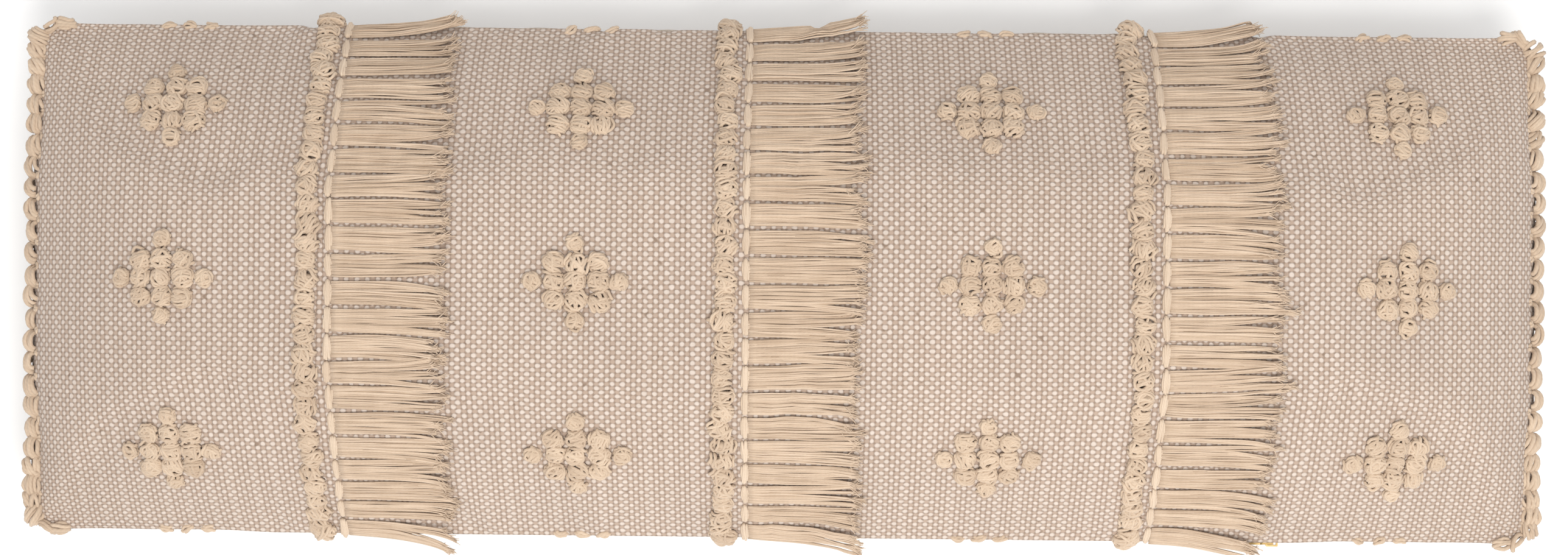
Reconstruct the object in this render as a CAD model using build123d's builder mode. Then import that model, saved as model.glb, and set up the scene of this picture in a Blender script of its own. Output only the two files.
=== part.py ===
"""Long lumbar throw pillow, lying on its back: a tufted and fringed cover over a stuffed insert.

The pillow lies along X, its width is along Y, and its front panel faces +Z. The origin is the middle of
the flat patch that it rests on. Both long seams and both end seams lie in one plane, SEAM_HEIGHT up.
"""

import os

from build123d import *

# Cushion, millimetres
LENGTH = 880.0  # seam to seam along X
WIDTH = 297.0  # seam to seam along Y
SEAM_HEIGHT = 54.0
FRONT_CROWN = 56.0  # rise of the front panel above the seam
BACK_CROWN = 62.0  # drop the back panel would have if nothing pressed it flat
SEAM_CORNER = 16.0  # corner radius of the cover, seen from the front
END_FULLNESS = 8.0  # higher means blunter ends
SIDE_FULLNESS = 3.0  # higher means fuller long sides
FRONT_RISE = 1.0  # 1 leaves the seam at a slope
BACK_RISE = 2.5  # above 2 leaves the seam straight down
SECTIONS = (0.0, 0.1, 0.25, 0.45, 0.65, 0.82, 0.94, 1.0)  # heights of the lofted outlines, as shares
FRONT_TOP = 0.98  # share of the crown at which the front's last outline lies
CROWN_CORNER = 0.8  # corner radius an outline at the crown would have, as a share of its half width

# Fabric layers
COVER_CLOTH = 1.2
CASING_CLOTH = 0.8
SEAM_SLACK = 8.0  # how far inside the cover's seam the insert's seam lies
CROWN_SLACK = 0.6  # gap between cover and insert over the crown
LAYER_GAP = 0.25
TRIM_LIFT = 0.3  # gap between the front panel and what is sewn on it

# Tufts: diamonds of loops, in columns of 1, 3, 5, 3 and 1
DIAMOND_COLUMNS = (-348.0, -116.0, 116.0, 349.0)
DIAMOND_ROWS = (99.0, 0.0, -99.0)
LOOP_PITCH_X = 13.3
LOOP_PITCH_Y = 10.5
LOOP_RADIUS = 5.0
LOOP_HEIGHT = 6.0
LOOP_EDGE = 0.6  # rounding of a loop's top, as a share of its radius
SEAM_TIPS = 3  # loops of the next diamond that show beside each long seam
SEAM_CLEAR = 1.0  # from the side of a loop to the seam

# Bands across the panel: a ridge of loops, a header and its fringe
HEADERS = {"left": -254.0, "centre": -21.0, "right": 213.0}
RIDGE_BEFORE_HEADER = 13.3
RIDGE_LOOPS = 27
RIDGE_RADIUS = 5.0
RIDGE_LOOP_HEIGHT = 8.0
HEADER_WIDTH = 5.0
HEADER_HEIGHT = 1.5
FRINGE_LENGTH = 64.0
FRINGE_HEIGHT = 2.4
BUNDLES = 22
BUNDLE_SHARE = 0.88  # share of the bundle pitch that yarn fills

# End braids
BRAID_LOOPS = 25
BRAID_RADIUS = 5.2
BRAID_LOOP_HEIGHT = 8.0
BRAID_INSET = 6.5  # from the seam in to the braid's line, seen from the front
BRAID_CORNER = 12.0  # step from loop to loop round each corner
CORNER_LOOPS = 2  # loops that turn each corner onto the long seam

# Zipper, in the wall just under the seam on the -Y side
ZIP_HALF_LENGTH = 300.0
ZIP_SLOT = 14.0  # height of the opening, from the seam down
ZIP_DROP = 7.0  # from the seam down to the middle of the chain
TAPE_FACE = -145.0  # the tapes' outer face, along Y
TAPE_CLOTH = 0.6
TAPE_TUCK = 1.2  # how far the upper tape reaches above the seam, inside the cover
LOWER_TAPE_WIDTH = 9.0
COIL_GAP = 1.5  # between the two coils, for the slider's divider
COIL_WIDTH = 1.9
COIL_DEPTH = 2.0
COIL_EDGE = 0.6
STOP_LENGTH = 3.0
STOP_DEPTH = 2.4
STOP_EDGE = 0.3

# Slider and pull
SLIDER_LENGTH = 11.0
SLIDER_HALF_WIDTH = 3.9
SLIDER_PLATE = 1.2
SLIDER_CORNER = 1.5
SLIDER_CLEAR = 0.4
FLANGE = 0.9
DIVIDER = 0.7
DIVIDER_LENGTH = 2.4
CROWN_LENGTH = 7.0
CROWN_HALF_WIDTH = 1.0
CROWN_OPENING = 2.0
CROWN_BAR = 0.9
CROWN_EDGE = 0.7
PULL_LENGTH = 29.0
PULL_HALF_WIDTH = 3.6
PULL_TIP_HALF_WIDTH = 4.2
PULL_THICKNESS = 1.2
PULL_TIP_CORNER = 2.5
PULL_SHOULDER = 1.5  # length of the slant behind the eye
PULL_BEVEL = 0.8  # how much that slant takes off each side
PULL_EYE_LENGTH = 5.4
PULL_EYE_HALF_WIDTH = 1.5

half_length = LENGTH / 2
half_width = WIDTH / 2
chain_height = SEAM_HEIGHT - ZIP_DROP


def half_cushion(side, crown, rise, last, seam_out=0.0, crown_out=0.0):
    """Half of the cushion, lofted from the seam plane through rounded outlines to a flat last one.

    side is 1 for the front half and -1 for the back. last is the height of the last outline above or
    below the seam plane. seam_out and crown_out move the outline and the crown outwards.
    """
    with BuildPart() as half:
        for share in SECTIONS:
            height = share * last
            closing = (height / (crown + crown_out)) ** rise
            half_x = (half_length + seam_out) * (1 - closing) ** (1 / END_FULLNESS)
            half_y = (half_width + seam_out) * (1 - closing) ** (1 / SIDE_FULLNESS)
            corner = SEAM_CORNER + seam_out + (CROWN_CORNER * half_y - SEAM_CORNER) * closing
            with BuildSketch(Plane.XY.offset(SEAM_HEIGHT + side * height)):
                RectangleRounded(2 * half_x, 2 * half_y, corner)
        loft()
    return half.part


def front_half(seam_out=0.0, crown_out=0.0):
    """The front half of the cushion, grown or shrunk."""
    last = FRONT_TOP * (FRONT_CROWN + crown_out)
    return half_cushion(1, FRONT_CROWN, FRONT_RISE, last, seam_out, crown_out)


def back_half(seam_out=0.0, crown_out=0.0):
    """The back half, flat where it rests: a shrunk one lies that much above the floor."""
    return half_cushion(-1, BACK_CROWN, BACK_RISE, SEAM_HEIGHT + crown_out, seam_out, crown_out)


def front_skin(lift, thickness):
    """A sheet that follows the front panel, lift above it."""
    with BuildPart() as skin:
        add(front_half(lift + thickness, lift + thickness))
        add(front_half(lift, lift), mode=Mode.SUBTRACT)
    return skin.part


def save(part, name):
    """Label a finished piece and write it as its own file."""
    part.label = name
    export_step(part, f"parts/{name}.step")


front_surface = front_half().faces().sort_by(Axis.Z)[1:]  # all but the flat face in the seam plane


def seat(x, y):
    """The plane that touches the front panel above (x, y), raised by the trim's lift."""
    upright = Axis((x, y, 0), (0, 0, 1))
    hits = [hit for face in front_surface for hit in face.find_intersection_points(upright)]
    point, normal = max(hits, key=lambda hit: hit[0].Z)
    normal = normal if normal.Z > 0 else -normal
    return Plane(origin=point + normal * TRIM_LIFT, x_dir=(1, 0, 0), z_dir=normal)


def yarn_loop(radius, height):
    """One loop of yarn as a rounded button that stands on the XY plane."""
    with BuildPart() as loop:
        with BuildSketch():
            Circle(radius)
        extrude(amount=height)
        fillet(loop.edges().group_by(Axis.Z)[-1], LOOP_EDGE * radius)
    return loop.part


def loops_at(planes, loop):
    """The same loop on each plane."""
    with BuildPart() as loops:
        with Locations(*planes):
            add(loop)
    return loops.part


def diamond(centre_x, centre_y):
    """The seats of one diamond's 13 loops."""
    planes = []
    for column in range(-2, 3):
        for row in range(-2, 3):
            if abs(row) + abs(column) <= 2:
                planes.append(seat(centre_x + column * LOOP_PITCH_X, centre_y + row * LOOP_PITCH_Y))
    return planes


def across(x, length, count, share, skin):
    """count pieces of a skin side by side across the panel, from x to x + length."""
    pitch = (WIDTH - 2 * SEAM_SLACK) / count
    with BuildPart() as pieces:
        with BuildSketch(Plane.XY.offset(SEAM_HEIGHT)):
            with GridLocations(0, pitch, 1, count):
                with Locations((x + length / 2, 0)):
                    Rectangle(length, share * pitch)
        extrude(amount=2 * FRONT_CROWN)
        add(skin, mode=Mode.INTERSECT)
    return pieces.part


os.makedirs("parts", exist_ok=True)

# Cover
with BuildPart() as cover_front:
    add(front_half())
    add(front_half(-COVER_CLOTH, -COVER_CLOTH), mode=Mode.SUBTRACT)
save(cover_front.part, "cover_front")

with BuildPart() as cover_back:
    add(back_half())
    add(back_half(-COVER_CLOTH, -COVER_CLOTH), mode=Mode.SUBTRACT)
    with Locations((0, -half_width, SEAM_HEIGHT)):
        Box(
            2 * ZIP_HALF_LENGTH,
            2 * SEAM_SLACK,
            ZIP_SLOT,
            align=(Align.CENTER, Align.CENTER, Align.MAX),
            mode=Mode.SUBTRACT,
        )
save(cover_back.part, "cover_back")

# Insert: two casing panels and the fibre between them. Each pair is (seam_out, crown_out).
casing_out = (-SEAM_SLACK, -COVER_CLOTH - CROWN_SLACK)
casing_in = (casing_out[0] - CASING_CLOTH, casing_out[1] - CASING_CLOTH)
fill_out = (casing_in[0] - LAYER_GAP, casing_in[1] - LAYER_GAP)

with BuildPart() as insert_front_panel:
    add(front_half(*casing_out))
    add(front_half(*casing_in), mode=Mode.SUBTRACT)
save(insert_front_panel.part, "insert_front_panel")

with BuildPart() as insert_back_panel:
    add(back_half(*casing_out))
    add(back_half(*casing_in), mode=Mode.SUBTRACT)
save(insert_back_panel.part, "insert_back_panel")

with BuildPart() as fibre_fill:
    add(front_half(*fill_out))
    add(back_half(*fill_out))
save(fibre_fill.part, "fibre_fill")

# Tufts
tuft_loop = yarn_loop(LOOP_RADIUS, LOOP_HEIGHT)
for row_number, row_y in enumerate(DIAMOND_ROWS, start=1):
    for column_number, column_x in enumerate(DIAMOND_COLUMNS, start=1):
        save(loops_at(diamond(column_x, row_y), tuft_loop), f"tuft_diamond_r{row_number}c{column_number}")

seam_tip = half_width - LOOP_RADIUS - SEAM_CLEAR
for name, tip_y in (("upper", seam_tip), ("lower", -seam_tip)):
    tip_planes = []
    for column_x in DIAMOND_COLUMNS:
        for number in range(SEAM_TIPS):
            tip_planes.append(seat(column_x + (number - (SEAM_TIPS - 1) / 2) * LOOP_PITCH_X, tip_y))
    save(loops_at(tip_planes, tuft_loop), f"seam_tufts_{name}")

# Ridges, headers and fringes
ridge_loop = yarn_loop(RIDGE_RADIUS, RIDGE_LOOP_HEIGHT)
ridge_reach = half_width - RIDGE_RADIUS - SEAM_CLEAR
header_skin = front_skin(TRIM_LIFT, HEADER_HEIGHT)
fringe_skin = front_skin(TRIM_LIFT, FRINGE_HEIGHT)
for name, header_x in HEADERS.items():
    ridge_x = header_x - RIDGE_BEFORE_HEADER
    ridge_planes = []
    for number in range(RIDGE_LOOPS):
        ridge_planes.append(seat(ridge_x, ridge_reach * (2 * number / (RIDGE_LOOPS - 1) - 1)))
    save(loops_at(ridge_planes, ridge_loop), f"loop_ridge_{name}")
    header_start = header_x - HEADER_WIDTH / 2
    save(across(header_start, HEADER_WIDTH, BUNDLES, BUNDLE_SHARE, header_skin), f"fringe_header_{name}")
    fringe_start = header_start + HEADER_WIDTH + LAYER_GAP
    save(across(fringe_start, FRINGE_LENGTH, BUNDLES, BUNDLE_SHARE, fringe_skin), f"fringe_band_{name}")

# End braids: loops along each end seam, which turn its corners onto the long seams
braid_loop = yarn_loop(BRAID_RADIUS, BRAID_LOOP_HEIGHT)
for name, side in (("left", -1), ("right", 1)):
    braid_x = half_length - BRAID_INSET
    braid_y = half_width - BRAID_INSET
    straight = braid_y - BRAID_CORNER
    places = []
    for number in range(BRAID_LOOPS):
        places.append((side * braid_x, straight * (2 * number / (BRAID_LOOPS - 1) - 1)))
    for edge in (-1, 1):
        for number in range(1, CORNER_LOOPS + 1):
            places.append((side * (braid_x - number * BRAID_CORNER), edge * braid_y))
    save(loops_at([seat(x, y) for x, y in places], braid_loop), f"end_braid_{name}")

# Zipper chain. Sketches on this plane have X along the chain and Y up, and it faces out of the wall.
chain_plane = Plane(origin=(0, TAPE_FACE, chain_height), x_dir=(1, 0, 0), z_dir=(0, -1, 0))
stop_inner = ZIP_HALF_LENGTH - 2 * STOP_LENGTH
tape_half_length = ZIP_HALF_LENGTH + SEAM_SLACK
tape_widths = {"upper": ZIP_DROP + TAPE_TUCK - COIL_GAP / 2, "lower": LOWER_TAPE_WIDTH - COIL_GAP / 2}
for name, side in (("upper", 1), ("lower", -1)):
    width = tape_widths[name]
    with BuildPart() as tape:
        with BuildSketch(chain_plane):
            with Locations((0, side * (COIL_GAP / 2 + width / 2))):
                Rectangle(2 * tape_half_length, width)
        extrude(amount=-TAPE_CLOTH)
    save(tape.part, f"zipper_tape_{name}")

    with BuildPart() as coil:
        with BuildSketch(chain_plane):
            with Locations((0, side * (COIL_GAP / 2 + COIL_WIDTH / 2))):
                Rectangle(2 * stop_inner, COIL_WIDTH)
        extrude(amount=COIL_DEPTH)
        fillet(coil.edges().filter_by(Axis.X).group_by(Axis.Y)[0], COIL_EDGE)
    save(coil.part, f"zipper_coil_{name}")

stop_height = COIL_GAP / 2 + COIL_WIDTH
with BuildPart() as zipper_top_stops:
    with BuildSketch(chain_plane):
        for side in (-1, 1):
            with Locations((stop_inner + STOP_LENGTH / 2, side * (COIL_GAP / 2 + COIL_WIDTH / 2))):
                Rectangle(STOP_LENGTH, COIL_WIDTH)
    extrude(amount=STOP_DEPTH)
    fillet(zipper_top_stops.edges().group_by(Axis.Y)[0], STOP_EDGE)
save(zipper_top_stops.part, "zipper_top_stops")

with BuildPart() as zipper_bottom_stop:
    with BuildSketch(chain_plane):
        with Locations((-stop_inner - STOP_LENGTH / 2, 0)):
            Rectangle(STOP_LENGTH, 2 * stop_height)
    extrude(amount=STOP_DEPTH)
    fillet(zipper_bottom_stop.edges().group_by(Axis.Y)[0], STOP_EDGE)
save(zipper_bottom_stop.part, "zipper_bottom_stop")

# Slider, closed against the top stops: two plates round the chain, joined by the divider at the nose
slider_x = stop_inner - SLIDER_CLEAR - SLIDER_LENGTH / 2
slider_plane = Plane(origin=(slider_x, TAPE_FACE, chain_height), x_dir=(1, 0, 0), z_dir=(0, -1, 0))
outer_plate = COIL_DEPTH + SLIDER_CLEAR
inner_plate = -TAPE_CLOTH - SLIDER_CLEAR
plate_top = outer_plate + SLIDER_PLATE
crown_top = plate_top + CROWN_OPENING
flange_reach = outer_plate - SLIDER_CLEAR

with BuildPart() as zipper_slider:
    for plate_start in (outer_plate, inner_plate - SLIDER_PLATE):
        with BuildSketch(slider_plane.offset(plate_start)):
            RectangleRounded(SLIDER_LENGTH, 2 * SLIDER_HALF_WIDTH, SLIDER_CORNER)
        extrude(amount=SLIDER_PLATE)
    with BuildSketch(slider_plane.offset(outer_plate)):
        for side in (-1, 1):
            with Locations((0, side * (SLIDER_HALF_WIDTH - FLANGE / 2))):
                Rectangle(SLIDER_LENGTH - 2 * SLIDER_CORNER, FLANGE)
    extrude(amount=-flange_reach)
    with BuildSketch(slider_plane.offset(inner_plate)):
        with Locations((SLIDER_LENGTH / 2 - SLIDER_CORNER, 0)):
            Rectangle(DIVIDER_LENGTH, DIVIDER)
    extrude(amount=outer_plate - inner_plate)
    with BuildSketch(Plane.XY.offset(chain_height - CROWN_HALF_WIDTH)):
        with Locations((slider_x, TAPE_FACE - plate_top)):
            Rectangle(CROWN_LENGTH, CROWN_OPENING + CROWN_BAR, align=(Align.CENTER, Align.MAX))
            Rectangle(
                CROWN_LENGTH - 2 * CROWN_BAR,
                CROWN_OPENING,
                align=(Align.CENTER, Align.MAX),
                mode=Mode.SUBTRACT,
            )
    extrude(amount=2 * CROWN_HALF_WIDTH)
    crown_corners = zipper_slider.edges().filter_by(Axis.Z).group_by(Axis.Y)[0]
    fillet(crown_corners, CROWN_EDGE)
save(zipper_slider.part, "zipper_slider")

# Pull: its round eye bar turns under the slider's crown, and the tab lies along the closed chain
hinge_height = plate_top + CROWN_OPENING / 2  # above the tapes' face
pull_plane = slider_plane.offset(hinge_height - PULL_THICKNESS / 2)
eye_start = PULL_THICKNESS / 2
neck = -PULL_EYE_LENGTH - eye_start
with BuildPart() as zipper_pull:
    with BuildSketch(pull_plane):
        with BuildLine():
            Polyline(
                (neck, -PULL_HALF_WIDTH + PULL_BEVEL),
                (eye_start, -PULL_EYE_HALF_WIDTH - PULL_BEVEL),
                (eye_start, PULL_EYE_HALF_WIDTH + PULL_BEVEL),
                (neck, PULL_HALF_WIDTH - PULL_BEVEL),
                (neck - PULL_SHOULDER, PULL_HALF_WIDTH),
                (-PULL_LENGTH, PULL_TIP_HALF_WIDTH),
                (-PULL_LENGTH, -PULL_TIP_HALF_WIDTH),
                (neck - PULL_SHOULDER, -PULL_HALF_WIDTH),
                close=True,
            )
        make_face()
        with Locations((neck, 0)):
            Rectangle(
                eye_start - neck,
                2 * PULL_EYE_HALF_WIDTH,
                align=(Align.MIN, Align.CENTER),
                mode=Mode.SUBTRACT,
            )
    extrude(amount=PULL_THICKNESS)
    bar_half_length = PULL_EYE_HALF_WIDTH + PULL_BEVEL / 2
    with BuildSketch(Plane.XY.offset(chain_height - bar_half_length)):
        with Locations((slider_x, TAPE_FACE - hinge_height)):
            Circle(PULL_THICKNESS / 2)
    extrude(amount=2 * bar_half_length)
    tip_corners = zipper_pull.edges().filter_by(Axis.Y).group_by(Axis.X)[0]
    fillet(tip_corners, PULL_TIP_CORNER)
save(zipper_pull.part, "zipper_pull")

print(f"slider travel {2 * stop_inner - 2 * SLIDER_CLEAR - SLIDER_LENGTH:.1f} mm")
print(f"pull hinge at x {slider_x:.2f}, y {TAPE_FACE - hinge_height:.2f}, z {chain_height:.2f}")
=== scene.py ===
"""Looks of the long lumbar throw pillow: cloth panels, yarn tufts, ridges, fringes, end braids and zipper.

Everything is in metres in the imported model's frame: X along the pillow, Y across it, Z out of its front.
"""

import math

import bpy
import numpy as np
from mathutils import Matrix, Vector


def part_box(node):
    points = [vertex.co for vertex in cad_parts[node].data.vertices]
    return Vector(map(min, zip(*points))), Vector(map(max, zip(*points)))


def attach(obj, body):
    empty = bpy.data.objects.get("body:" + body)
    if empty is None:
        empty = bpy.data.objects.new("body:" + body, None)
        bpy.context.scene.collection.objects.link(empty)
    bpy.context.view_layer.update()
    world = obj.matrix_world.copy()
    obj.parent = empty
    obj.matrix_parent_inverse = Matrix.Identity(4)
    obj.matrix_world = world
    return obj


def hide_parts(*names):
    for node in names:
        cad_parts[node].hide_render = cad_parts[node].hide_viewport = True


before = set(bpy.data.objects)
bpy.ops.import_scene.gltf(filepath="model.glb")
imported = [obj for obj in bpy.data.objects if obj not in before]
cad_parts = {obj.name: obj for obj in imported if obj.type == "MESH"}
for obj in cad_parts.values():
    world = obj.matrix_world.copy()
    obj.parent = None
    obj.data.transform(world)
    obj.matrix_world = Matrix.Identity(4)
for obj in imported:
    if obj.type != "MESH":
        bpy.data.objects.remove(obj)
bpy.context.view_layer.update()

MM = 0.001
TAU = 2 * math.pi

# ---- sizes from the frame -------------------------------------------------------------------------
front_low, front_high = (np.array(corner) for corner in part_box("cover_front"))
half_length = float(front_high[0])
half_width = float(front_high[1])
seam_height = float(front_low[2])
FRONT_TOP = 0.98  # share of the crown at which the CAD's front panel is cut flat
BACK_CUT = 0.87  # share of the back's full drop that lies above the surface it rests on
front_rise = float(front_high[2] - front_low[2]) / FRONT_TOP
back_drop = seam_height / BACK_CUT
END_FULLNESS = 8.0  # higher means blunter ends
SIDE_FULLNESS = 3.0  # higher means fuller long sides
BACK_POWER = 2.5  # above 2 the back leaves the seam straight down
SEAM_CORNER = 16 * MM

# ---- the cloth ------------------------------------------------------------------------------------
COLUMNS = 145  # points along a panel
ROWS = 57  # points across it
SEAM_PINCH = 1.2 * MM
CASING_SLACK = (9 * MM, 2 * MM)  # inside the cover at the seam and at the crown
FILL_SLACK = (11 * MM, 4 * MM)
SETTLING_FRAMES = 16
SETTLE_LIMIT = 2.5 * MM  # the most that a point may move as the cloth settles
HOLD_CLOTH = 0.06  # how firmly the simulation holds the open cloth, its seam and where it rests
HOLD_SEAM = 0.6
HOLD_RESTING = 1.0
UNEVEN_WAVES = 9
UNEVEN_HEIGHT = 0.45 * MM

# ---- sizes of the yarn work. A loop's sizes are its length, width and height ------------------------
LOOP_PITCH_X = 12.4 * MM
LOOP_PITCH_Y = 10.5 * MM
TUFT = (13.4 * MM, 12.6 * MM, 4.6 * MM)
TIP_SCALE = 0.82  # of the loops at a diamond's four points
SEAM_TIPS = 3  # loops of the next diamond beside each long seam
SEAM_TIP = (9.5 * MM, 5 * MM, 2.6 * MM)
RIDGE_LOOP = (13.2 * MM, 14 * MM, 5.2 * MM)
RIDGE_END = (17 * MM, 10 * MM, 6.5 * MM)
BOBBLE_PLY = 0.95 * MM  # radius of a ply
SIDE_BY_SIDE = 8  # plies that arc over each bobble side by side
CROSSING = 3  # plies that lie across them
RINGS = 2  # plies that curl round its foot
HEADER_LOOP = (14.6 * MM, 5.2 * MM, 2.6 * MM)
FRINGE_PITCH = 15 * MM
FRINGE_REACH = (60, 65)  # millimetres, shortest and longest bundle
BUNDLE_HALF_WIDTH = (6.2, 7)  # millimetres
END_DRIFT = 9 * MM  # how far the last bundles swing out over the long seam
STRANDS = 30  # in each bundle of a fringe
CLUMPS = 5  # that a bundle's tips gather into
WISPS = 2  # fine fibres at the tip of each strand
BRAID_PITCH = 12.8 * MM
BRAID_LOOP = (15 * MM, 11.5 * MM, 6.8 * MM)
BRAID_STITCH = (6 * MM, 4 * MM, 2.4 * MM)
CORNER_LOOP = (14 * MM, 8 * MM, 4.5 * MM)
CORNER_LOOPS = 2  # that wrap each corner onto the long seam
CORNER_STEP = 12 * MM
WIDE_FLOATS = 13.3 * MM  # between the rows of wider floats
WEAVE_CELL_X = 5.95 * MM
WEAVE_CELL_Y = 5.27 * MM

# ---- sizes of the zipper's visible details ---------------------------------------------------------
COIL_PITCH = 1.27 * MM
COIL_WIRE = 0.34 * MM  # radius
COIL_SIDES = 10  # points in each turn
DIVIDER_ROOM = 0.4 * MM  # from the middle of the chain to each coil
HEM_RADIUS = 1.3 * MM
BAR_TACKS = 4  # stitches across each end of the zipper
BAR_TACK_RADIUS = 0.45 * MM

CAMERA_HEIGHT = 1.327
CAMERA_FORWARD = 3.4 * MM
CAMERA_TURN = 0.6  # degrees
PILLOW_MIDDLE = (0, 0, 0.05)
FLOOR_REACH = 6.0

rng = np.random.default_rng(20)


# ---- camera, light and floor ----------------------------------------------------------------------
def add_camera():
    """The camera looks straight down on the pillow's front."""
    camera = bpy.data.objects.new("camera", bpy.data.cameras.new("camera"))
    camera.data.lens = 50
    camera.data.sensor_width = 36
    camera.location = (0, CAMERA_FORWARD, CAMERA_HEIGHT)
    camera.rotation_euler = (0, 0, math.radians(CAMERA_TURN))
    bpy.context.collection.objects.link(camera)
    bpy.context.scene.camera = camera


def add_light(name, place, size, power, colour=(1, 1, 1)):
    """A square soft light at place, turned towards the pillow."""
    light = bpy.data.objects.new(name, bpy.data.lights.new(name, "AREA"))
    light.data.size = size
    light.data.energy = power
    light.data.color = colour
    light.location = place
    light.rotation_euler = (Vector(PILLOW_MIDDLE) - Vector(place)).to_track_quat("-Z", "Y").to_euler()
    bpy.context.collection.objects.link(light)


def add_studio():
    """A pale floor, an even pale surround and two soft lights, the stronger one from the -Y side."""
    mesh = bpy.data.meshes.new("floor")
    corners = [(x * FLOOR_REACH, y * FLOOR_REACH, 0) for x, y in ((-1, -1), (1, -1), (1, 1), (-1, 1))]
    mesh.from_pydata(corners, [], [(0, 1, 2, 3)])
    floor = bpy.data.objects.new("floor", mesh)
    bpy.context.collection.objects.link(floor)
    paint = bpy.data.materials.new("floor_paint")
    paint.use_nodes = True
    paint.node_tree.nodes["Principled BSDF"].inputs["Base Color"].default_value = (0.93, 0.93, 0.93, 1)
    paint.node_tree.nodes["Principled BSDF"].inputs["Roughness"].default_value = 0.9
    mesh.materials.append(paint)
    world = bpy.data.worlds.new("studio")
    world.use_nodes = True
    world.node_tree.nodes["Background"].inputs["Color"].default_value = (1, 1, 1, 1)
    world.node_tree.nodes["Background"].inputs["Strength"].default_value = 0.88
    bpy.context.scene.world = world
    bpy.context.scene.view_settings.view_transform = "Standard"
    add_light("key_light", place=(0.25, -0.8, 1.55), size=1.0, power=21, colour=(1, 0.985, 0.96))
    add_light("top_light", place=(-0.4, 0.2, 2.2), size=1.6, power=4)


# ---- node helpers ---------------------------------------------------------------------------------
class Nodes:
    """Short calls that add nodes to a material and give back their outputs."""

    def __init__(self, name):
        self.material = bpy.data.materials.new(name)
        self.material.use_nodes = True
        self.tree = self.material.node_tree
        self.shader = self.tree.nodes["Principled BSDF"]

    def put(self, kind, inputs=(), output=0, **settings):
        """A node of a kind. An input is a number, a colour or another node's output."""
        node = self.tree.nodes.new(kind)
        for key, value in settings.items():
            setattr(node, key, value)
        for key, value in dict(inputs).items():
            if isinstance(value, bpy.types.NodeSocket):
                self.tree.links.new(value, node.inputs[key])
            else:
                node.inputs[key].default_value = value
        return node.outputs[output]

    def math(self, operation, *values):
        return self.put("ShaderNodeMath", dict(enumerate(values)), operation=operation)

    def noise(self, where, scale, detail=2.0, rough=0.5):
        return self.put("ShaderNodeTexNoise", {"Vector": where, "Scale": scale, "Detail": detail,
                                               "Roughness": rough})

    def mix(self, factor, low, high):
        return self.put("ShaderNodeMix", {0: factor, 6: low, 7: high}, output=2, data_type="RGBA")

    def multiply(self, colour, value):
        """A colour made darker or lighter by a number."""
        grey = self.put("ShaderNodeCombineColor", {0: value, 1: value, 2: value})
        return self.put("ShaderNodeMix", {0: 1.0, 6: colour, 7: grey}, output=2, data_type="RGBA",
                        blend_type="MULTIPLY")

    def ramp(self, value, low, high, to_low=0.0, to_high=1.0, smooth=False):
        """Maps low..high onto to_low..to_high, held at its ends."""
        kind = "SMOOTHSTEP" if smooth else "LINEAR"
        return self.put("ShaderNodeMapRange", {0: value, 1: low, 2: high, 3: to_low, 4: to_high},
                        interpolation_type=kind)

    def bump(self, height, distance, strength):
        return self.put("ShaderNodeBump", {"Height": height, "Distance": distance, "Strength": strength})

    def finish(self, colour, roughness, normal, sheen=0.0, metallic=0.0):
        """Joins the shader up and gives the material."""
        self.shader.inputs["Sheen Weight"].default_value = sheen
        self.shader.inputs["Sheen Roughness"].default_value = 0.5
        self.shader.inputs["Metallic"].default_value = metallic
        for key, value in (("Base Color", colour), ("Roughness", roughness), ("Normal", normal)):
            self.tree.links.new(value, self.shader.inputs[key])
        return self.material


def srgb(red, green, blue):
    """A colour given as 0-255 screen values, as linear values for a shader."""
    linear = []
    for value in (red / 255, green / 255, blue / 255):
        linear.append(value / 12.92 if value <= 0.04045 else ((value + 0.055) / 1.055) ** 2.4)
    return (*linear, 1)


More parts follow.
